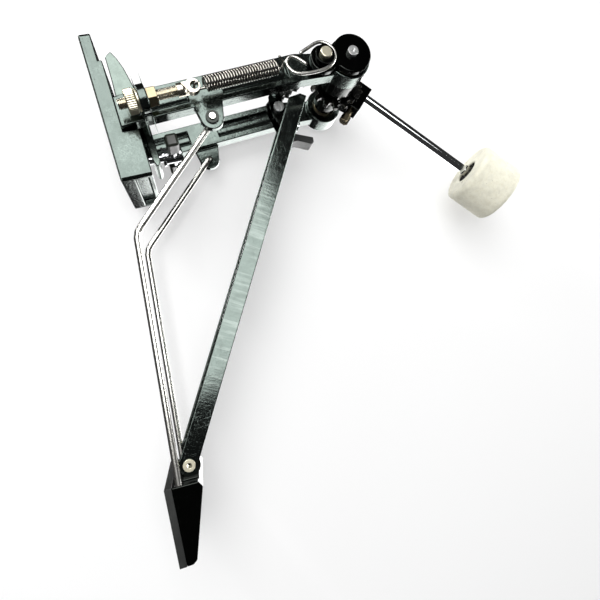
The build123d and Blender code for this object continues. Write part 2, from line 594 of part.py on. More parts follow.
with BuildPart() as heel_sole:
    sole = [heel_point(0, 0), heel_point(57.8, 0), heel_point(57.8, SOLE_THICKNESS - 0.05),
            heel_point(0, SOLE_THICKNESS - 0.05)]
    slab_y(sole, -BASE_HALF_WIDTH, BASE_HALF_WIDTH)
heel_sole.part.label = "heel_sole"
export_step(heel_sole.part, "parts/heel_sole.step")

with BuildPart() as heel_rivets:
    for s in (-1, 1):
        y0, y1 = sorted((s * 24.6, s * 34.2))
        disc_y(HINGE_X, HINGE_Z, y0, y1, 3.0)
        for e0, e1 in ((24.6, 25.9), (33.1, 34.2)):
            y0, y1 = sorted((s * e0, s * e1))
            disc_y(HINGE_X, HINGE_Z, y0, y1, 4.75)
    disc_y(HINGE_X, HINGE_Z, -40, 40, 1.9, mode=Mode.SUBTRACT)
heel_rivets.part.label = "heel_rivets"
export_step(heel_rivets.part, "parts/heel_rivets.step")

# Footboard: a channel with a stiffening rib underneath
with BuildPart() as footboard:
    W = BOARD_HALF_WIDTH
    under = BOARD_TOP - BOARD_THICKNESS
    plate = [board_point(9.5, BOARD_TOP), board_point(9.5, under), board_point(BOARD_LENGTH, under),
             board_point(BOARD_LENGTH, BOARD_TOP)]
    slab_y(plate, -W, W)
    for s in (-1, 1):
        y0, y1 = sorted((s * (W - BOARD_THICKNESS), s * W))
        flange = [board_point(0, BOARD_TOP), board_point(0, BOARD_BOTTOM),
                  board_point(BOARD_LENGTH - 7, BOARD_BOTTOM), board_point(BOARD_LENGTH, BOARD_TOP - 6),
                  board_point(BOARD_LENGTH, BOARD_TOP)]
        slab_y(flange, y0, y1)
        disc_y(HINGE_X, HINGE_Z, y0, y1, 8.6)
    rib = [board_point(26, under + 1), board_point(30, -4.0), board_point(268, -4.0), board_point(276, under + 1)]
    slab_y(rib, -2.5, 2.5)
    for f in (70, 130, 190, 250):
        cross = [board_point(f - 1.3, under + 1), board_point(f - 1.3, -2), board_point(f + 1.3, -2),
                 board_point(f + 1.3, under + 1)]
        slab_y(cross, -W + 2, W - 2)
    for i in range(19):
        f = 30 + i * 13.5
        groove = [board_point(f, BOARD_TOP + 1), board_point(f, BOARD_TOP - 0.7),
                  board_point(f + 2.4, BOARD_TOP - 0.7), board_point(f + 2.4, BOARD_TOP + 1)]
        slab_y(groove, -26, 26, mode=Mode.SUBTRACT)
    disc_y(HINGE_X, HINGE_Z, -40, 40, 3.07, mode=Mode.SUBTRACT)
    a = radians(BOARD_SLOPE)
    board_up = (sin(a), 0, cos(a))
    for y in (CHAIN_Y - 12.6, CHAIN_Y + 12.6):
        x, z = board_point(292, 0)
        rod_along((x, y, z), board_up, 0, 10, 2.05, mode=Mode.SUBTRACT)
footboard.part.label = "footboard"
export_step(footboard.part, "parts/footboard.step")

with BuildPart() as toe_bracket:
    for s in (-1, 1):
        y0, y1 = sorted((CHAIN_Y + s * 6.2, CHAIN_Y + s * 8.4))
        cheek = [board_point(282, 0.8), board_point(302, 0.8), board_point(310.5, -11),
                 board_point(318.5, -16.6), board_point(318.5, -22.5), board_point(311, -24.6),
                 board_point(300, -19)]
        slab_y(cheek, y0, y1)
    shelf = [board_point(282, 0.6), board_point(302, 0.6), board_point(302, 2.9), board_point(282, 2.9)]
    slab_y(shelf, CHAIN_Y - 16.5, CHAIN_Y + 16.5)
    disc_y(strand_pins[-1][0], strand_pins[-1][1], -30, 30, 1.53, mode=Mode.SUBTRACT)
    screw_x, screw_z = board_point(304.6, -13.5)
    disc_y(screw_x, screw_z, -30, 30, 2.55, mode=Mode.SUBTRACT)
    for y in (CHAIN_Y - 12.6, CHAIN_Y + 12.6):
        x, z = board_point(292, 0)
        rod_along((x, y, z), board_up, 0, 10, 2.05, mode=Mode.SUBTRACT)
toe_bracket.part.label = "toe_bracket"
export_step(toe_bracket.part, "parts/toe_bracket.step")

with BuildPart() as toe_bolts:
    for y in (CHAIN_Y - 12.6, CHAIN_Y + 12.6):
        x, z = board_point(292, 0)
        rod_along((x, y, z), board_up, -2.4, 6.2, 2.0)
        rod_along((x, y, z), board_up, 6.1, 8.0, 3.8)
        hex_along((x, y, z), board_up, -2.6, 0.55, 7.0)
toe_bolts.part.label = "toe_bolts"
export_step(toe_bolts.part, "parts/toe_bolts.step")

with BuildPart() as toe_screw:
    disc_y(screw_x, screw_z, CHAIN_Y - 11.4, CHAIN_Y - 8.45, 4.5)
    disc_y(screw_x, screw_z, CHAIN_Y - 8.5, CHAIN_Y + 11.0, 2.5)
    hex_along((screw_x, CHAIN_Y + 8.5, screw_z), (0, 1, 0), 0, 3.0, 8.0)
    box(screw_x - 5, screw_x + 5, CHAIN_Y - 12, CHAIN_Y - 10.6, screw_z - 0.6, screw_z + 0.6,
        mode=Mode.SUBTRACT)
toe_screw.part.label = "toe_screw"
export_step(toe_screw.part, "parts/toe_screw.step")

with BuildPart() as chain_toe_pin:
    disc_y(strand_pins[-1][0], strand_pins[-1][1], CHAIN_Y - 9.6, CHAIN_Y + 9.6, 1.5)
    disc_y(strand_pins[-1][0], strand_pins[-1][1], CHAIN_Y - 9.6, CHAIN_Y - 8.7, 2.6)
    disc_y(strand_pins[-1][0], strand_pins[-1][1], CHAIN_Y + 8.7, CHAIN_Y + 9.6, 2.6)
chain_toe_pin.part.label = "chain_toe_pin"
export_step(chain_toe_pin.part, "parts/chain_toe_pin.step")

with BuildPart() as toe_stop:
    wall = [board_point(290, BOARD_TOP + 0.05), board_point(300, BOARD_TOP + 0.05),
            board_point(303.5, BOARD_TOP + 20), board_point(299.5, BOARD_TOP + 22),
            board_point(297, BOARD_TOP + 21), board_point(295, BOARD_TOP + 7)]
    slab_y(wall, 8.8, 26.0)
toe_stop.part.label = "toe_stop"
export_step(toe_stop.part, "parts/toe_stop.step")
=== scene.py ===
import json
import math
import random

import bmesh
import bpy
from bpy.props import FloatProperty, FloatVectorProperty, IntProperty, PointerProperty
from mathutils import Matrix, Vector, noise


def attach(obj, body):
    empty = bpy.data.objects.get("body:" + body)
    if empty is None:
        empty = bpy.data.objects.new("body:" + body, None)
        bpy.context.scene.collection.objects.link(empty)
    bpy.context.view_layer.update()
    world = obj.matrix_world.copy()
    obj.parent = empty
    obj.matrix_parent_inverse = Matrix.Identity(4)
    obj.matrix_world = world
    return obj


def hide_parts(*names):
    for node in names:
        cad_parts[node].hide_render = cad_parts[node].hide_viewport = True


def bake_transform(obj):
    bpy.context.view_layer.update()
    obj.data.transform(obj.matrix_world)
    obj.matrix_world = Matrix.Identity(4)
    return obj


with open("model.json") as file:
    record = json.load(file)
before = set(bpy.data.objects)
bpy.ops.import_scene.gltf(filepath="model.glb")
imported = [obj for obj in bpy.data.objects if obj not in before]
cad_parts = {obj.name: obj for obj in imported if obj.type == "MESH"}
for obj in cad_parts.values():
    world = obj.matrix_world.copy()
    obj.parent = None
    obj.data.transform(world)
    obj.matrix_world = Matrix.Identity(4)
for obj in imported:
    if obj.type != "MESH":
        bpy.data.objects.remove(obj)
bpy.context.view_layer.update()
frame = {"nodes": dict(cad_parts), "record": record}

bl_info = {
    "name": "Bass drum pedal",
    "version": (1, 0, 0),
    "blender": (4, 5, 0),
    "location": "3D View > Sidebar > Pedal",
    "description": "Builds the looks of a single bass drum pedal round its solid frame",
    "category": "Add Mesh",
}

random.seed(7)

# Layout of the pedal in metres: x to the heel, z up from the base, the axle on x = 0
AXLE_Z = 0.2037
SPRING_FOOT = Vector((0.010, -0.061, 0.025))
PIN_CENTRE = Vector((0.0005, -0.061, 0.1782))
LINE = (PIN_CENTRE - SPRING_FOOT).normalized()
LINE_SIDE = Vector((LINE.z, 0.0, -LINE.x))
BEATER_BACK = math.radians(48.1)
ROD_DIR = Vector((math.sin(BEATER_BACK), 0.0, math.cos(BEATER_BACK)))
ROD_SIDE = Vector((-math.cos(BEATER_BACK), 0.0, math.sin(BEATER_BACK)))
ROD_START = Vector((0.0, 0.006, AXLE_Z)) + ROD_SIDE * 0.0176
BOARD_SLOPE = math.radians(33.0)
STIRRUP_ROUTE = (
    (4.3, 161.0), (-1.2, 155.2), (-3.2, 151.0), (-1.9, 147.5), (1.6, 145.6), (5.4, 146.4),
    (9.7, 149.8), (11.6, 156.2), (12.0, 165.2), (11.1, 174.8), (7.9, 182.4), (2.2, 186.8),
    (-3.4, 186.8), (-8.0, 183.8), (-10.8, 178.6), (-10.6, 173.6), (-7.6, 165.8), (-5.0, 159.4),
)
# Bore of the rod's eye, and the wider opening that the spring's hook needs as the rod slides
EYE_BORE = 0.0023
EYE_OPEN = 0.0033


def on_line(s, dx=0.0, dy=0.0):
    """A point s millimetres up the spring line, moved across it by dx and dy millimetres."""
    return SPRING_FOOT + (LINE * s + LINE_SIDE * dx + Vector((0.0, dy, 0.0))) * 0.001


# ---------------------------------------------------------------- settings


class PedalColours(bpy.types.PropertyGroup):
    gunmetal: FloatVectorProperty(name="Gunmetal", description="Dark plated castings and footboard",
                                  subtype="COLOR", size=3, min=0, max=1, default=(0.088, 0.106, 0.097))
    black: FloatVectorProperty(name="Black", description="Black fittings",
                               subtype="COLOR", size=3, min=0, max=1, default=(0.022, 0.024, 0.022))
    jaw: FloatVectorProperty(name="Jaw", description="Hoop jaw finish",
                             subtype="COLOR", size=3, min=0, max=1, default=(0.12, 0.145, 0.13))
    chrome: FloatVectorProperty(name="Chrome", description="Polished rods and screws",
                                subtype="COLOR", size=3, min=0, max=1, default=(0.74, 0.76, 0.77))
    nickel: FloatVectorProperty(name="Dull nickel", description="Spring and eye rod",
                                subtype="COLOR", size=3, min=0, max=1, default=(0.40, 0.39, 0.36))
    brass: FloatVectorProperty(name="Pale brass", description="Knurled nut and rivets",
                               subtype="COLOR", size=3, min=0, max=1, default=(0.85, 0.80, 0.62))
    old_brass: FloatVectorProperty(name="Dull brass", description="Lock nut and clamp bolt",
                                   subtype="COLOR", size=3, min=0, max=1, default=(0.33, 0.28, 0.18))
    grip: FloatVectorProperty(name="Grip", description="Moulded wing grips",
                              subtype="COLOR", size=3, min=0, max=1, default=(0.022, 0.026, 0.02))
    felt: FloatVectorProperty(name="Felt", description="Pressed felt of the beater",
                              subtype="COLOR", size=3, min=0, max=1, default=(0.86, 0.84, 0.70))
    rubber: FloatVectorProperty(name="Rubber", description="Heel sole and toe stop",
                                subtype="COLOR", size=3, min=0, max=1, default=(0.014, 0.015, 0.014))


class PedalSizes(bpy.types.PropertyGroup):
    edge: FloatProperty(name="Edge round", description="Rounding of the castings' edges",
                        unit="LENGTH", default=0.0008, min=0.0001, max=0.002)
    small_edge: FloatProperty(name="Small edge round", description="Rounding of the small fittings' edges",
                              unit="LENGTH", default=0.0003, min=0.00005, max=0.001)
    thread_pitch: FloatProperty(name="Thread pitch", description="Pitch of the screw threads",
                                unit="LENGTH", default=0.00125, min=0.0005, max=0.003)
    spring_turns: IntProperty(name="Spring turns", description="Turns of the tension spring",
                              default=27, min=10, max=60)
    felt_fuzz: FloatProperty(name="Felt fuzz", description="Unevenness of the felt surface",
                             unit="LENGTH", default=0.00035, min=0.0, max=0.001)
    knurls: IntProperty(name="Knurls", description="Ridges round the knurled nut",
                        default=40, min=12, max=90)


def settings():
    return bpy.context.scene.pedal_sizes, bpy.context.scene.pedal_colours


# ---------------------------------------------------------------- node groups


def new_group(name, inputs, outputs):
    tree = bpy.data.node_groups.new(name, "ShaderNodeTree")
    for label, kind, value in inputs:
        socket = tree.interface.new_socket(name=label, in_out="INPUT", socket_type=kind)
        socket.default_value = value
    for label, kind in outputs:
        tree.interface.new_socket(name=label, in_out="OUTPUT", socket_type=kind)
    return tree, tree.nodes.new("NodeGroupInput"), tree.nodes.new("NodeGroupOutput")


def math_node(tree, operation, first, second=None, clamp=False):
    node = tree.nodes.new("ShaderNodeMath")
    node.operation = operation
    node.use_clamp = clamp
    for slot, value in enumerate((first, second)):
        if value is None:
            continue
        if isinstance(value, (int, float)):
            node.inputs[slot].default_value = value
        else:
            tree.links.new(value, node.inputs[slot])
    return node.outputs[0]


def noise_node(tree, vector, scale, detail=4.0, roughness=0.55, stretch=None):
    if stretch is not None:
        mapping = tree.nodes.new("ShaderNodeMapping")
        mapping.inputs["Scale"].default_value = stretch
        tree.links.new(vector, mapping.inputs["Vector"])
        vector = mapping.outputs["Vector"]
    node = tree.nodes.new("ShaderNodeTexNoise")
    node.inputs["Detail"].default_value = detail
    node.inputs["Roughness"].default_value = roughness
    tree.links.new(vector, node.inputs["Vector"])
    if isinstance(scale, (int, float)):
        node.inputs["Scale"].default_value = scale
    else:
        tree.links.new(scale, node.inputs["Scale"])
    return node.outputs["Fac"]


def ramp_node(tree, value, low, high):
    node = tree.nodes.new("ShaderNodeMapRange")
    node.interpolation_type = "SMOOTHSTEP"
    node.inputs["From Min"].default_value = low
    node.inputs["From Max"].default_value = high
    tree.links.new(value, node.inputs["Value"])
    return node.outputs["Result"]


def mix_colour(tree, factor, first, second):
    node = tree.nodes.new("ShaderNodeMix")
    node.data_type = "RGBA"
    for socket, value in ((node.inputs["Factor"], factor), (node.inputs[6], first), (node.inputs[7], second)):
        if isinstance(value, bpy.types.NodeSocket):
            tree.links.new(value, socket)
        else:
            socket.default_value = value
    return node.outputs[2]


def build_grain_group():
    """Uneven skin of a casting or of plated metal: a height and a spotted mask."""
    tree, start, end = new_group(
        "Surface Grain",
        [("Vector", "NodeSocketVector", (0, 0, 0)), ("Scale", "NodeSocketFloat", 900.0),
         ("Pits", "NodeSocketFloat", 0.3)],
        [("Height", "NodeSocketFloat"), ("Spots", "NodeSocketFloat")],
    )
    soft = noise_node(tree, start.outputs["Vector"], start.outputs["Scale"], 5.0, 0.6)
    cells = tree.nodes.new("ShaderNodeTexVoronoi")
    tree.links.new(start.outputs["Vector"], cells.inputs["Vector"])
    tree.links.new(math_node(tree, "MULTIPLY", start.outputs["Scale"], 0.7), cells.inputs["Scale"])
    pits = ramp_node(tree, cells.outputs["Distance"], 0.05, 0.4)
    sunk = math_node(tree, "MULTIPLY", pits, start.outputs["Pits"])
    tree.links.new(math_node(tree, "ADD", soft, sunk), end.inputs["Height"])
    coarse = noise_node(tree, start.outputs["Vector"],
                        math_node(tree, "MULTIPLY", start.outputs["Scale"], 0.11), 6.0, 0.7)
    tree.links.new(ramp_node(tree, coarse, 0.4, 0.68), end.inputs["Spots"])
    return tree


def build_wear_group():
    """Rubbed and dusty patches: a colour between clean and worn, and the patch mask."""
    tree, start, end = new_group(
        "Rubbed Wear",
        [("Vector", "NodeSocketVector", (0, 0, 0)), ("Clean", "NodeSocketColor", (0.1, 0.1, 0.1, 1)),
         ("Worn", "NodeSocketColor", (0.3, 0.3, 0.3, 1)), ("Scale", "NodeSocketFloat", 40.0),
         ("Amount", "NodeSocketFloat", 0.3)],
        [("Colour", "NodeSocketColor"), ("Mask", "NodeSocketFloat")],
    )
    patches = noise_node(tree, start.outputs["Vector"], start.outputs["Scale"], 8.0, 0.68)
    specks = noise_node(tree, start.outputs["Vector"],
                        math_node(tree, "MULTIPLY", start.outputs["Scale"], 26.0), 3.0, 0.6)
    both = math_node(tree, "MULTIPLY", ramp_node(tree, patches, 0.42, 0.72),
                     ramp_node(tree, specks, 0.35, 0.65))
    mask = math_node(tree, "MULTIPLY", both, start.outputs["Amount"], clamp=True)
    tree.links.new(mask, end.inputs["Mask"])
    colour = mix_colour(tree, mask, start.outputs["Clean"], start.outputs["Worn"])
    tree.links.new(colour, end.inputs["Colour"])
    return tree


def build_scratch_group():
    """Fine scratches in two directions: a height and a mask of lines."""
    tree, start, end = new_group(
        "Fine Scratches",
        [("Vector", "NodeSocketVector", (0, 0, 0)), ("Scale", "NodeSocketFloat", 60.0)],
        [("Height", "NodeSocketFloat"), ("Lines", "NodeSocketFloat")],
    )
    total = None
    for stretch in ((1.0, 14.0, 22.0), (19.0, 1.3, 12.0), (16.0, 20.0, 1.0)):
        lines = noise_node(tree, start.outputs["Vector"], start.outputs["Scale"], 3.0, 0.7, stretch)
        lines = ramp_node(tree, lines, 0.62, 0.74)
        total = lines if total is None else math_node(tree, "MAXIMUM", total, lines)
    tree.links.new(total, end.inputs["Lines"])
    tree.links.new(math_node(tree, "MULTIPLY", total, -1.0), end.inputs["Height"])
    return tree


GROUPS = {}


def group_node(tree, name, vector, **values):
    node = tree.nodes.new("ShaderNodeGroup")
    node.node_tree = GROUPS[name]
    tree.links.new(vector, node.inputs["Vector"])
    for label, value in values.items():
        node.inputs[label].default_value = value
    return node


def rgba(colour, factor=1.0):
    return tuple(min(1.0, channel * factor) for channel in colour) + (1.0,)


def surface(name, clean, worn, metallic=1.0, rough=(0.15, 0.3), grain=900.0, pits=0.3, depth=0.00002,
            wear=(45.0, 0.4), scratch=(60.0, 0.00001), coat=0.0, sheen=0.0, extra=None):
    """One Principled finish from the shared grain, wear and scratch groups."""
    material = bpy.data.materials.new(name)
    material.use_nodes = True
    tree = material.node_tree
    shader = tree.nodes["Principled BSDF"]
    place = tree.nodes.new("ShaderNodeTexCoord").outputs["Object"]
    grains = group_node(tree, "grain", place, Scale=grain, Pits=pits)
    rubs = group_node(tree, "wear", place, Clean=clean, Worn=worn, Scale=wear[0], Amount=wear[1])
    lines = group_node(tree, "scratch", place, Scale=scratch[0])
    colour = rubs.outputs["Colour"]
    tint = tuple(channel * 0.72 for channel in clean[:3]) + (1.0,)
    shade = math_node(tree, "MULTIPLY", grains.outputs["Spots"], 0.5)
    colour = mix_colour(tree, shade, colour, tint)
    height = grains.outputs["Height"]
    if extra is not None:
        colour, height = extra(tree, place, colour, height)
    tree.links.new(colour, shader.inputs["Base Color"])
    shader.inputs["Metallic"].default_value = metallic
    lined = math_node(tree, "MULTIPLY", lines.outputs["Lines"], 0.6)
    mask = math_node(tree, "MAXIMUM", rubs.outputs["Mask"], lined)
    mask = math_node(tree, "MAXIMUM", mask, math_node(tree, "MULTIPLY", grains.outputs["Spots"], 0.35))
    span = math_node(tree, "MULTIPLY", mask, rough[1] - rough[0])
    tree.links.new(math_node(tree, "ADD", span, rough[0]), shader.inputs["Roughness"])
    bump = tree.nodes.new("ShaderNodeBump")
    bump.inputs["Distance"].default_value = depth
    tree.links.new(height, bump.inputs["Height"])
    fine = tree.nodes.new("ShaderNodeBump")
    fine.inputs["Distance"].default_value = scratch[1]
    tree.links.new(lines.outputs["Height"], fine.inputs["Height"])
    tree.links.new(bump.outputs["Normal"], fine.inputs["Normal"])
    tree.links.new(fine.outputs["Normal"], shader.inputs["Normal"])
    shader.inputs["Coat Weight"].default_value = coat
    shader.inputs["Coat Roughness"].default_value = 0.08
    shader.inputs["Sheen Weight"].default_value = sheen
    shader.inputs["Sheen Roughness"].default_value = 0.5
    return material


# ---------------------------------------------------------------- special details of single finishes


def board_ripples_and_painted_reflection(tree, place, colour, height):
    """Cross ripples and faint streaks along the pressed footboard, with the ripple crests lightened as a
    painted reflection.
    """
    mapping = tree.nodes.new("ShaderNodeMapping")
    mapping.inputs["Rotation"].default_value = (0.0, -BOARD_SLOPE, 0.0)
    tree.links.new(place, mapping.inputs["Vector"])
    turned = mapping.outputs["Vector"]
    ripple = noise_node(tree, turned, 1.0, 3.0, 0.6, (420.0, 16.0, 26.0))
    streak = noise_node(tree, turned, 1.0, 4.0, 0.65, (9.0, 60.0, 480.0))
    height = math_node(tree, "ADD", height, math_node(tree, "MULTIPLY", ripple, 1.6))
    height = math_node(tree, "ADD", height, math_node(tree, "MULTIPLY", streak, 0.8))
    # Painted reflection: the ripple crests are mixed toward a lighter green grey, standing for the lamp's
    # reflection on the wavy board.
    return mix_colour(tree, math_node(tree, "MULTIPLY", ramp_node(tree, ripple, 0.45, 0.7), 0.35),
                      colour, (0.2, 0.225, 0.21, 1.0)), height


def felt_fibres(tree, place, colour, height):
    """Matted fibres, painted shade darkening the dips between the tufts, and a few dark and brown specks."""
    fibres = noise_node(tree, place, 1.0, 6.0, 0.75, (900.0, 2600.0, 900.0))
    tufts = noise_node(tree, place, 260.0, 6.0, 0.8)
    height = math_node(tree, "ADD", math_node(tree, "MULTIPLY", fibres, 0.8), tufts)
    # Painted shade: the low dips of the tufts are darkened and yellowed.
    shade = mix_colour(tree, math_node(tree, "MULTIPLY", ramp_node(tree, tufts, 0.58, 0.3), 0.4),
                       colour, (0.66, 0.61, 0.44, 1.0))
    specks = noise_node(tree, place, 1.0, 2.0, 0.5, (620.0, 180.0, 540.0))
    dark = math_node(tree, "MULTIPLY", ramp_node(tree, specks, 0.69, 0.76), 0.6)
    return mix_colour(tree, dark, shade, (0.2, 0.15, 0.09, 1.0)), height


def coil_shadow(tree, place, colour, height):
    """Brown patches at random over the wire, painted shade for the dark gaps between the turns."""
    brown = noise_node(tree, place, 160.0, 5.0, 0.7)
    # Painted shade: random brown patches darken the spring's colour.
    mask = math_node(tree, "MULTIPLY", ramp_node(tree, brown, 0.5, 0.75), 0.45)
    return mix_colour(tree, mask, colour, (0.10, 0.075, 0.05, 1.0)), height


def build_surfaces():
    colours = settings()[1]
    GROUPS["grain"] = build_grain_group()
    GROUPS["wear"] = build_wear_group()
    GROUPS["scratch"] = build_scratch_group()
    gunmetal, black, chrome = rgba(colours.gunmetal), rgba(colours.black), rgba(colours.chrome)
    surface("Cast gunmetal", gunmetal, rgba(colours.gunmetal, 2.3), rough=(0.13, 0.3), grain=420.0,
            pits=0.5, depth=0.00009, wear=(38.0, 0.5), scratch=(40.0, 0.00002))
    # The pressed board finish carries a painted reflection on its ripple crests.
    surface("Pressed board gunmetal", gunmetal, rgba(colours.gunmetal, 1.7), rough=(0.08, 0.2), grain=700.0,
            depth=0.00003, wear=(30.0, 0.4), extra=board_ripples_and_painted_reflection)
    surface("Black plate", black, rgba(colours.black, 2.6), rough=(0.09, 0.24), grain=620.0,
            depth=0.00003, wear=(50.0, 0.5))
    surface("Jaw grey", rgba(colours.jaw), rgba(colours.jaw, 1.8), rough=(0.18, 0.34), grain=520.0,
            pits=0.4, depth=0.00005, wear=(45.0, 0.5))
    surface("Bright chrome", chrome, rgba(colours.chrome, 0.62), rough=(0.07, 0.22), grain=500.0,
            depth=0.000008, wear=(70.0, 0.5), scratch=(90.0, 0.000006))
    # The dull nickel finish of the spring and eye rod carries the painted shade patches of coil_shadow.
    surface("Dull nickel", rgba(colours.nickel), rgba(colours.nickel, 0.55), rough=(0.14, 0.32), grain=900.0,
            depth=0.00002, wear=(80.0, 0.7), extra=coil_shadow)
    surface("Bearing steel", (0.5, 0.48, 0.4, 1), (0.26, 0.22, 0.15, 1), rough=(0.22, 0.4), grain=900.0)
    surface("Chain steel", (0.2, 0.2, 0.195, 1), (0.1, 0.085, 0.06, 1), rough=(0.22, 0.42), grain=900.0,
            wear=(120.0, 0.8))
    surface("Pale brass", rgba(colours.brass), rgba(colours.brass, 0.5), rough=(0.32, 0.46), grain=900.0,
            depth=0.00002, wear=(110.0, 0.6))
    surface("Dull brass", rgba(colours.old_brass), rgba(colours.old_brass, 0.45), rough=(0.25, 0.45),
            grain=900.0, depth=0.00002, wear=(110.0, 0.7))
    surface("Satin wire", (0.82, 0.81, 0.76, 1), (0.6, 0.58, 0.5, 1), rough=(0.26, 0.4), grain=800.0,
            depth=0.000012, wear=(70.0, 0.5))
    surface("Bright zinc", (0.8, 0.81, 0.8, 1), (0.5, 0.49, 0.44, 1), rough=(0.34, 0.48), grain=700.0,
            pits=0.4, depth=0.00003, wear=(80.0, 0.5))
    surface("Thread steel", (0.64, 0.6, 0.5, 1), (0.3, 0.26, 0.19, 1), rough=(0.22, 0.4), grain=900.0,
            depth=0.00002, wear=(110.0, 0.6))
    surface("Drive black", (0.05, 0.05, 0.048, 1), (0.16, 0.15, 0.12, 1), rough=(0.2, 0.38), grain=900.0,
            wear=(120.0, 0.7))
    surface("Grip plastic", rgba(colours.grip), rgba(colours.grip, 2.5), metallic=0.0, rough=(0.3, 0.5),
            grain=1400.0, depth=0.00003, wear=(60.0, 0.6))
    surface("Pressed felt", rgba(colours.felt), rgba(colours.felt, 0.85), metallic=0.0, rough=(0.9, 1.0),
            depth=0.0005, wear=(90.0, 0.5), scratch=(200.0, 0.00005), sheen=0.25, extra=felt_fibres)
    surface("Sole rubber", rgba(colours.rubber), rgba(colours.rubber, 2.4), metallic=0.0, rough=(0.4, 0.62),
            grain=1200.0, depth=0.00005, wear=(60.0, 0.7))


SLOT_FINISH = {
    "cast_body": "Cast gunmetal", "black_metal": "Black plate", "board_metal": "Pressed board gunmetal",
    "jaw_metal": "Jaw grey", "bright_steel": "Bright chrome", "dark_nickel": "Dull nickel",
    "bearing_steel": "Bearing steel", "chain_steel": "Chain steel", "brass": "Pale brass",
    "dull_brass": "Dull brass", "grip_plastic": "Grip plastic", "felt": "Pressed felt",
    "sole_rubber": "Sole rubber", "toe_rubber": "Sole rubber",
}
NODE_FINISH = {
    "stirrup_wire": "Satin wire", "left_radius_rod": "Satin wire", "right_radius_rod": "Satin wire",
    "crank_screw": "Bright zinc", "toe_screw": "Bright zinc", "adjusting_rod": "Thread steel",
    "sprocket": "Drive black", "chain_wrap": "Drive black",
}
NODE_SLOT = {part["node"]: part["material_slot"] for part in frame["record"]["subparts"]}
NODE_BODY = {node: body for body, nodes in frame["record"]["behaviour"]["bodies"].items() for node in nodes}


def give_finish(obj, name):
    """Every slot of the object takes the named finish."""
    material = bpy.data.materials[name]
    if not obj.data.materials:
        obj.data.materials.append(material)
    for slot in obj.material_slots:
        slot.material = material


def keep_nodes(*names):
    for name in names:
        give_finish(frame["nodes"][name], NODE_FINISH.get(name) or SLOT_FINISH[NODE_SLOT[name]])


# ---------------------------------------------------------------- mesh helpers


def add_piece(name, mesh, node, finish=None, body=None):
    """A finished mesh that stands for a solid of the frame and rides on its body."""
    obj = bpy.data.objects.new(name, mesh)
    bpy.context.scene.collection.objects.link(obj)
    give_finish(obj, finish or NODE_FINISH.get(node) or SLOT_FINISH[NODE_SLOT[node]])
    if body != "":
        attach(obj, body or NODE_BODY[node])
    return obj


def smooth_shade(mesh, angle=35.0):
    mesh.shade_smooth()
    mesh.set_sharp_from_angle(angle=math.radians(angle))


def soften(node, name, width, segments=2, angle=32.0, finish=None):
    """A copy of a node's mesh with its hard edges rounded, standing for that node."""
    mesh = frame["nodes"][node].data.copy()
    mesh.name = name
    for label in ("custom_normal", "sharp_edge", "sharp_face"):
        if label in mesh.attributes:
            mesh.attributes.remove(mesh.attributes[label])
    shape = bmesh.new()
    shape.from_mesh(mesh)
    bmesh.ops.remove_doubles(shape, verts=shape.verts, dist=0.000003)
    bmesh.ops.dissolve_limit(shape, angle_limit=math.radians(0.4), verts=shape.verts, edges=shape.edges)
    shape.to_mesh(mesh)
    shape.free()
    mesh.shade_smooth()
    piece = add_piece(name, mesh, node, finish)
    bevel = piece.modifiers.new("Edge round", "BEVEL")
    bevel.width = width
    bevel.segments = segments
    bevel.limit_method = "ANGLE"
    bevel.angle_limit = math.radians(angle)
    bevel.use_clamp_overlap = False
    bevel.harden_normals = True
    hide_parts(node)
    return piece


def grid_mesh(name, rings, closed=True, caps=True):
    """A skin over rings of points, each ring closed on itself."""
    shape = bmesh.new()
    loops = [[shape.verts.new(point) for point in ring] for ring in rings]
    count = len(loops[0])
    pairs = list(zip(loops, loops[1:]))
    if closed:
        pairs.append((loops[-1], loops[0]))
    for first, second in pairs:
        for i in range(count):
            j = (i + 1) % count
            shape.faces.new((first[i], first[j], second[j], second[i]))
    if caps and not closed:
        shape.faces.new(list(reversed(loops[0])))
        shape.faces.new(loops[-1])
    bmesh.ops.recalc_face_normals(shape, faces=shape.faces)
    mesh = bpy.data.meshes.new(name)
    shape.to_mesh(mesh)
    shape.free()
    smooth_shade(mesh)
    return mesh


def across(axis):
    side = axis.cross(Vector((0.0, 1.0, 0.0))).normalized()
    return side, axis.cross(side).normalized()


def turned(name, origin, axis, profile, steps, radius_at=None, closed=True, caps=True):
    """A turned piece: profile holds (distance along the axis, radius), radius_at may shape it by angle."""
    u, v = across(axis)
    rings = []
    for along, radius in profile:
        ring = []
        for i in range(steps):
            a = 2 * math.pi * i / steps
            r = radius if radius_at is None else radius_at(along, radius, a)
            ring.append(origin + axis * along + (u * math.cos(a) + v * math.sin(a)) * r)
        rings.append(ring)
    return grid_mesh(name, rings, closed, caps)


def smooth_route(points, steps=8):
    """A smooth line through the points."""
    line = []
    last = len(points) - 1
    for i in range(last):
        p0, p1, p2, p3 = (points[max(0, min(last, i + k))] for k in (-1, 0, 1, 2))
        for k in range(steps):
            t = k / steps
            line.append(0.5 * ((2 * p1) + (p2 - p0) * t + (2 * p0 - 5 * p1 + 4 * p2 - p3) * t * t
                               + (3 * p1 - p0 - 3 * p2 + p3) * t * t * t))
    line.append(points[-1].copy())
    return line


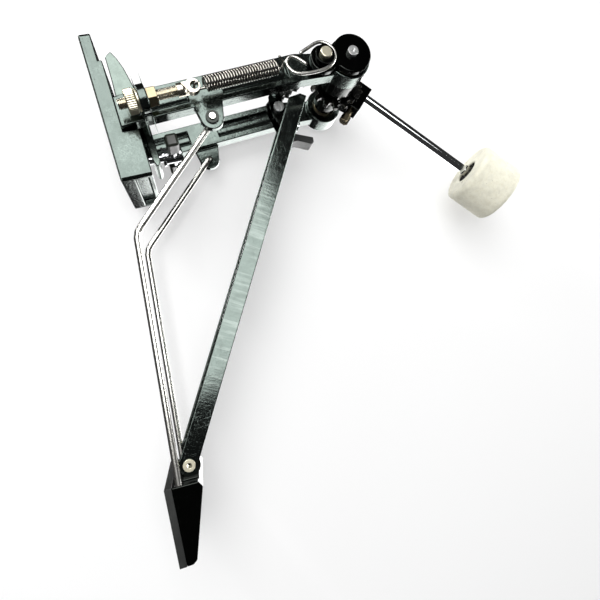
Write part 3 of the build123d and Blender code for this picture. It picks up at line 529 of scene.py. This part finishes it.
def wire_rings(route, radius, sides=12):
    """Rings of a round wire along a route, with domed ends."""
    tangents = []
    for i in range(len(route)):
        tangents.append((route[min(i + 1, len(route) - 1)] - route[max(i - 1, 0)]).normalized())
    normal = tangents[0].orthogonal().normalized()
    rings = []
    for i, (point, tangent) in enumerate(zip(route, tangents)):
        normal = (normal - tangent * normal.dot(tangent)).normalized()
        second = tangent.cross(normal)
        spots = [(0.0, 1.0)]
        if i == 0:
            spots = [(-0.95, 0.25), (-0.6, 0.78), (0.0, 1.0)]
        if i == len(route) - 1:
            spots = [(0.0, 1.0), (0.6, 0.78), (0.95, 0.25)]
        for shift, share in spots:
            centre = point + tangent * radius * shift
            rings.append([centre + (normal * math.cos(2 * math.pi * k / sides)
                                    + second * math.sin(2 * math.pi * k / sides)) * radius * share
                          for k in range(sides)])
    return rings


def thread_mesh(name, origin, axis, length, crest, root, pitch, steps=28, per_turn=8):
    """A rod with a real screw thread."""
    count = int(length / pitch * per_turn)
    profile = [(length * i / count, crest) for i in range(count + 1)]

    def radius_at(along, radius, a):
        phase = (along / pitch - a / (2 * math.pi)) % 1.0
        rise = 1.0 - abs(phase * 2.0 - 1.0)
        ends = min(1.0, min(along, length - along) / (pitch * 0.8))
        return root + (radius - root) * min(1.0, rise * 1.25) * ends

    return turned(name, origin, axis, profile, steps, radius_at, closed=False)


# ---------------------------------------------------------------- pieces


class PEDAL_OT_finishes(bpy.types.Operator):
    """Builds the shared effects and every metal, felt and rubber finish"""
    bl_idname = "pedal.finishes"
    bl_label = "Finishes"

    def execute(self, context):
        build_surfaces()
        return {"FINISHED"}


class PEDAL_OT_castings(bpy.types.Operator):
    """Base casting and the two posts with rounded cast edges"""
    bl_idname = "pedal.castings"
    bl_label = "Base and posts"

    def execute(self, context):
        edge = context.scene.pedal_sizes.edge
        soften("base_casting", "base_body", edge)
        soften("left_post", "near_post_body", edge)
        soften("right_post", "far_post_body", edge)
        keep_nodes("post_bolts", "jaw_pivot_pin")
        return {"FINISHED"}


class PEDAL_OT_hoop_clamp(bpy.types.Operator):
    """Hoop jaw, its washer and the wing bolt with moulded grips"""
    bl_idname = "pedal.hoop_clamp"
    bl_label = "Hoop clamp"

    def execute(self, context):
        sizes = context.scene.pedal_sizes
        soften("hoop_jaw", "jaw_body", sizes.edge)
        soften("clamp_washer", "jaw_washer", sizes.small_edge)
        soften("wing_bolt", "wing_bolt_body", sizes.small_edge)
        keep_nodes("wing_grips")
        return {"FINISHED"}


class PEDAL_OT_spring_set(bpy.types.Operator):
    """Knurled adjuster, threaded eye rod, tension spring and wire stirrup"""
    bl_idname = "pedal.spring_set"
    bl_label = "Spring set"

    def execute(self, context):
        sizes = context.scene.pedal_sizes
        self.knurled_nut(sizes)
        self.eye_rod(sizes)
        self.coil(sizes)
        self.stirrup()
        soften("lock_nut", "lock_nut_body", sizes.small_edge)
        soften("tension_washer", "tension_washer_body", sizes.small_edge)
        return {"FINISHED"}

    def knurled_nut(self, sizes):
        low, high, rim, bore = -0.0046, 0.0028, 0.009, 0.0041
        profile = [(low, bore), (low, rim - 0.0012), (low + 0.0003, rim - 0.0006), (low + 0.0008, rim)]
        profile += [(low + 0.0008 + (high - low - 0.0016) * i / 6, rim) for i in range(1, 6)]
        profile += [(high - 0.0008, rim), (high - 0.0003, rim - 0.0006), (high, rim - 0.0012), (high, bore)]

        def radius_at(along, radius, a):
            if radius < rim - 0.0001:
                return radius
            return radius - 0.0004 * (0.5 - 0.5 * math.cos(a * sizes.knurls)) ** 0.7

        mesh = turned("knurled_nut_body", SPRING_FOOT, LINE, profile, sizes.knurls * 6, radius_at)
        piece = add_piece("knurled_nut_body", mesh, "knurled_nut")
        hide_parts("knurled_nut")

    def eye_rod(self, sizes):
        mesh = thread_mesh("eye_rod_thread", on_line(-10.5), LINE, 0.0440, 0.0040, 0.0034, sizes.thread_pitch)
        thread = add_piece("eye_rod_thread", mesh, "adjusting_rod")
        mesh = frame["nodes"]["adjusting_rod"].data.copy()
        shape = bmesh.new()
        shape.from_mesh(mesh)
        bmesh.ops.remove_doubles(shape, verts=shape.verts, dist=0.000003)
        everything = list(shape.verts) + list(shape.edges) + list(shape.faces)
        cut = bmesh.ops.bisect_plane(shape, geom=everything, plane_co=on_line(33.05), plane_no=LINE,
                                     clear_inner=True)
        rim = [item for item in cut["geom_cut"] if isinstance(item, bmesh.types.BMEdge)]
        bmesh.ops.contextual_create(shape, geom=rim)
        mesh.name = "eye_rod_head"
        middle = on_line(46.0)
        for vertex in shape.verts:
            out = vertex.co - middle
            out.y = 0.0
            if out.length < EYE_BORE + 0.0001:
                wider = out.normalized() * (EYE_OPEN - out.length)
                vertex.co += wider
        shape.to_mesh(mesh)
        shape.free()
        smooth_shade(mesh)
        head = add_piece("eye_rod_head", mesh, "adjusting_rod")
        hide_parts("adjusting_rod")
        return thread

    def coil(self, sizes):
        start, pitch, radius, wire = 54.0, 58.05 / sizes.spring_turns, 5.0, 0.00098
        top = start + 58.05
        route = []
        steps = sizes.spring_turns * 28
        for i in range(steps + 1):
            a = 2 * math.pi * i / 28
            route.append(on_line(start + pitch * i / 28, -radius * math.sin(a), radius * math.cos(a)))
        low = [(0.6, 0.1, 5.0), (-2.5, 0, 5.2), (-6.6, 0, 4.6), (-8.0, 0, 2.2), (-8.2, 0, 0),
               (-7.6, 0, -3.0), (-5.5, 0, -5.0)]
        high = [(-0.6, 0, 5.0), (2.2, 0, 4.6), (4.6, 0, 2.8), (6.6, -3.2, 0.4), (4.4, -6.4, -2.2)]
        low_route = smooth_route([on_line(start + s, x, y) for s, x, y in low])
        high_route = smooth_route([on_line(top + s, x, y) for s, x, y in high])
        shape = bmesh.new()
        for part in (route, low_route, high_route):
            mesh = grid_mesh("turns", wire_rings(part, wire), closed=False)
            shape.from_mesh(mesh)
            bpy.data.meshes.remove(mesh)
        mesh = bpy.data.meshes.new("tension_coil")
        shape.to_mesh(mesh)
        shape.free()
        smooth_shade(mesh, 50.0)
        piece = add_piece("tension_coil", mesh, "spring_coil", body="")
        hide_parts("spring_coil")
        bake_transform(piece)

    def stirrup(self):
        route = smooth_route([Vector((x * 0.001, SPRING_FOOT.y, z * 0.001)) for x, z in STIRRUP_ROUTE], 8)
        mesh = grid_mesh("stirrup_loop", wire_rings(route, 0.00135, 16), closed=False)
        piece = add_piece("stirrup_loop", mesh, "stirrup_wire")
        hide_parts("stirrup_wire")


class PEDAL_OT_axle(bpy.types.Operator):
    """Axle, its bearings, crank, sprocket and chain"""
    bl_idname = "pedal.axle"
    bl_label = "Axle and drive"

    def execute(self, context):
        small = context.scene.pedal_sizes.small_edge
        soften("crank_plate", "crank_body", small)
        soften("sprocket", "sprocket_body", small)
        soften("chain_wrap", "chain_over_sprocket", small * 0.6)
        soften("chain_strand", "chain_down", small * 0.6)
        soften("crank_screw", "crank_screw_body", small)
        soften("axle_collar", "axle_collar_body", small)
        soften("axle_washer", "axle_washer_body", small)
        soften("axle_sleeve", "axle_sleeve_body", small)
        soften("pin_roller", "pin_roller_body", small)
        keep_nodes("axle_shaft", "axle_bearings", "bearing_ring", "crank_pin", "chain_toe_pin")
        return {"FINISHED"}


class PEDAL_OT_beater(bpy.types.Operator):
    """Beater clamp, rod and pressed felt head"""
    bl_idname = "pedal.beater"
    bl_label = "Beater"

    def execute(self, context):
        sizes = context.scene.pedal_sizes
        soften("beater_clamp", "beater_block", sizes.edge)
        soften("beater_clamp_screw", "beater_block_screw", sizes.small_edge)
        soften("felt_nuts", "felt_nuts_body", sizes.small_edge)
        soften("felt_washers", "felt_washers_body", sizes.small_edge)
        keep_nodes("beater_rod")
        self.felt(sizes)
        return {"FINISHED"}

    def felt(self, sizes):
        start, far, rim, corner = 0.156, 0.199, 0.0294, 0.0045
        low_hole, high_hole, bore = 0.0022, 0.0070, 0.0038
        profile = [(start + low_hole, bore), (start + low_hole, 0.0112), (start + 0.0006, 0.0112),
                   (start, 0.0118)]
        profile += [(start, 0.0118 + (rim - corner - 0.0118) * i / 8) for i in range(1, 8)]
        for i in range(9):
            a = math.pi / 2 * i / 8
            profile.append((start + corner * (1 - math.cos(a)), rim - corner * (1 - math.sin(a))))
        profile += [(start + corner + (far - start - 2 * corner) * i / 18, rim) for i in range(1, 18)]
        for i in range(9):
            a = math.pi / 2 * (1 - i / 8)
            profile.append((far - corner * (1 - math.cos(a)), rim - corner * (1 - math.sin(a))))
        profile += [(far, rim - corner - (rim - corner - 0.0118) * i / 8) for i in range(1, 8)]
        profile += [(far, 0.0118), (far - 0.0006, 0.0112), (far - high_hole, 0.0112), (far - high_hole, bore)]
        mesh = turned("felt_body", ROD_START, ROD_DIR, profile, 144)
        for vertex in mesh.vertices:
            place = vertex.co - ROD_START
            along = place.dot(ROD_DIR)
            out = place - ROD_DIR * along
            if out.length < 0.0125:
                continue
            coarse = noise.fractal(vertex.co * 190.0, 0.7, 2.1, 4)
            push = min(0.0, coarse - 0.35) * sizes.felt_fuzz
            inward = (ROD_DIR * (0.1775 - along) - out).normalized()
            vertex.co -= inward * push
        smooth_shade(mesh, 60.0)
        piece = add_piece("felt_body", mesh, "felt_head")
        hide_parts("felt_head")


class PEDAL_OT_footboard(bpy.types.Operator):
    """Footboard, toe fittings, heel plate, sole and the bent radius rods"""
    bl_idname = "pedal.footboard"
    bl_label = "Footboard and heel"

    def execute(self, context):
        sizes = context.scene.pedal_sizes
        soften("footboard", "footboard_body", sizes.edge)
        soften("toe_bracket", "toe_bracket_body", sizes.small_edge)
        soften("toe_stop", "toe_stop_body", sizes.edge)
        soften("toe_bolts", "toe_bolts_body", sizes.small_edge)
        soften("toe_screw", "toe_screw_body", sizes.small_edge)
        soften("heel_plate", "heel_plate_body", sizes.edge)
        soften("heel_sole", "heel_sole_body", sizes.small_edge)
        soften("heel_rivets", "heel_rivets_body", sizes.small_edge)
        soften("rod_clips", "rod_clips_body", sizes.small_edge)
        keep_nodes("left_radius_rod", "right_radius_rod")
        return {"FINISHED"}


# ---------------------------------------------------------------- stage


class PEDAL_OT_stage(bpy.types.Operator):
    """Camera, pale floor and soft studio lights"""
    bl_idname = "pedal.stage"
    bl_label = "Stage"

    def execute(self, context):
        self.camera(context)
        self.floor()
        self.world(context)
        self.softbox("Front softbox", (-0.425, -1.2, -0.105), (1.55, 0.99), 24.0)
        self.softbox("Back softbox", (0.2, 1.6, 0.6), (1.6, 1.2), 26.0)
        self.softbox("Left strip", (-0.9, -0.1, -0.45), (0.12, 1.0), 7.0, (0.1, 0.0, 0.1))
        self.softbox("Right strip", (0.2, -0.05, 1.3), (0.7, 0.16), 9.0, (0.1, 0.0, 0.2))
        context.scene.view_settings.view_transform = "Standard"
        return {"FINISHED"}

    def camera(self, context):
        lens = bpy.data.cameras.new("Camera")
        lens.sensor_width = 36.0
        lens.lens = 27.06
        lens.clip_start = 0.01
        lens.clip_end = 20.0
        camera = bpy.data.objects.new("Camera", lens)
        context.scene.collection.objects.link(camera)
        x_axis = Vector((0.2888, -0.2159, 0.9327)).normalized()
        z_axis = Vector((0.0102, -0.9735, -0.2285))
        z_axis = (z_axis - x_axis * z_axis.dot(x_axis)).normalized()
        y_axis = z_axis.cross(x_axis)
        turn = Matrix((x_axis, y_axis, z_axis)).transposed().to_4x4()
        camera.matrix_world = Matrix.Translation((0.18496, -0.392, 0.02342)) @ turn
        context.scene.camera = camera

    def softbox(self, name, place, size, power, target=None):
        data = bpy.data.lights.new(name, "AREA")
        data.shape = "RECTANGLE"
        data.size, data.size_y = size
        data.energy = power
        light = bpy.data.objects.new(name, data)
        bpy.context.scene.collection.objects.link(light)
        light.location = place
        facing = Vector((0.0, 1.0, 0.0)) if place[1] < -1.0 else Vector((0.0, 0.0, 0.1)) - Vector(place)
        if target is not None:
            facing = Vector(target) - Vector(place)
        light.rotation_euler = facing.to_track_quat("-Z", "Z").to_euler()
        light.visible_camera = False

    def floor(self):
        bpy.ops.mesh.primitive_plane_add(size=6.0, location=(0.1, 0.06, 0.1),
                                         rotation=(math.pi / 2, 0.0, 0.0))
        plane = bpy.context.active_object
        plane.name = "floor"
        material = bpy.data.materials.new("Pale floor")
        material.use_nodes = True
        tree = material.node_tree
        shader = tree.nodes["Principled BSDF"]
        shader.inputs["Base Color"].default_value = (0.5, 0.5, 0.5, 1)
        shader.inputs["Roughness"].default_value = 0.9
        shader.inputs["Emission Color"].default_value = (1, 1, 1, 1)
        path = tree.nodes.new("ShaderNodeLightPath")
        glow = math_node(tree, "MULTIPLY", path.outputs["Is Camera Ray"], 0.3)
        tree.links.new(math_node(tree, "ADD", glow, 0.12), shader.inputs["Emission Strength"])
        clear = tree.nodes.new("ShaderNodeBsdfTransparent")
        geometry = tree.nodes.new("ShaderNodeNewGeometry")
        see_through = math_node(tree, "MAXIMUM", geometry.outputs["Backfacing"],
                                path.outputs["Is Shadow Ray"])
        mix = tree.nodes.new("ShaderNodeMixShader")
        tree.links.new(see_through, mix.inputs[0])
        tree.links.new(shader.outputs[0], mix.inputs[1])
        tree.links.new(clear.outputs[0], mix.inputs[2])
        tree.links.new(mix.outputs[0], tree.nodes["Material Output"].inputs["Surface"])
        plane.data.materials.append(material)
        plane.visible_glossy = False

    def world(self, context):
        world = bpy.data.worlds.new("Studio")
        context.scene.world = world
        world.use_nodes = True
        tree = world.node_tree
        path = tree.nodes.new("ShaderNodeLightPath")
        back = tree.nodes["Background"]
        back.inputs["Color"].default_value = (1, 1, 1, 1)
        glow = math_node(tree, "MULTIPLY", path.outputs["Is Camera Ray"], 0.96)
        soft = math_node(tree, "MULTIPLY", path.outputs["Is Diffuse Ray"], 0.24)
        glow = math_node(tree, "ADD", glow, soft)
        tree.links.new(math_node(tree, "ADD", glow, 0.04), back.inputs["Strength"])


STEPS = (PEDAL_OT_finishes, PEDAL_OT_castings, PEDAL_OT_hoop_clamp, PEDAL_OT_spring_set, PEDAL_OT_axle,
         PEDAL_OT_beater, PEDAL_OT_footboard, PEDAL_OT_stage)


class PEDAL_PT_panel(bpy.types.Panel):
    """Sizes, colours and steps of the pedal"""
    bl_idname = "PEDAL_PT_panel"
    bl_label = "Bass drum pedal"
    bl_space_type = "VIEW_3D"
    bl_region_type = "UI"
    bl_category = "Pedal"

    def draw(self, context):
        column = self.layout.column()
        for group in (context.scene.pedal_sizes, context.scene.pedal_colours):
            for label in group.__annotations__:
                column.prop(group, label)
        for step in STEPS:
            column.operator(step.bl_idname)


CLASSES = (PedalColours, PedalSizes, *STEPS, PEDAL_PT_panel)


def register():
    for item in CLASSES:
        bpy.utils.register_class(item)
    bpy.types.Scene.pedal_sizes = PointerProperty(type=PedalSizes)
    bpy.types.Scene.pedal_colours = PointerProperty(type=PedalColours)


def unregister():
    del bpy.types.Scene.pedal_colours
    del bpy.types.Scene.pedal_sizes
    for item in reversed(CLASSES):
        bpy.utils.unregister_class(item)


def main():
    register()
    for step in STEPS:
        area, name = step.bl_idname.split(".")
        getattr(getattr(bpy.ops, area), name)()


if __name__ == "__main__":
    main()
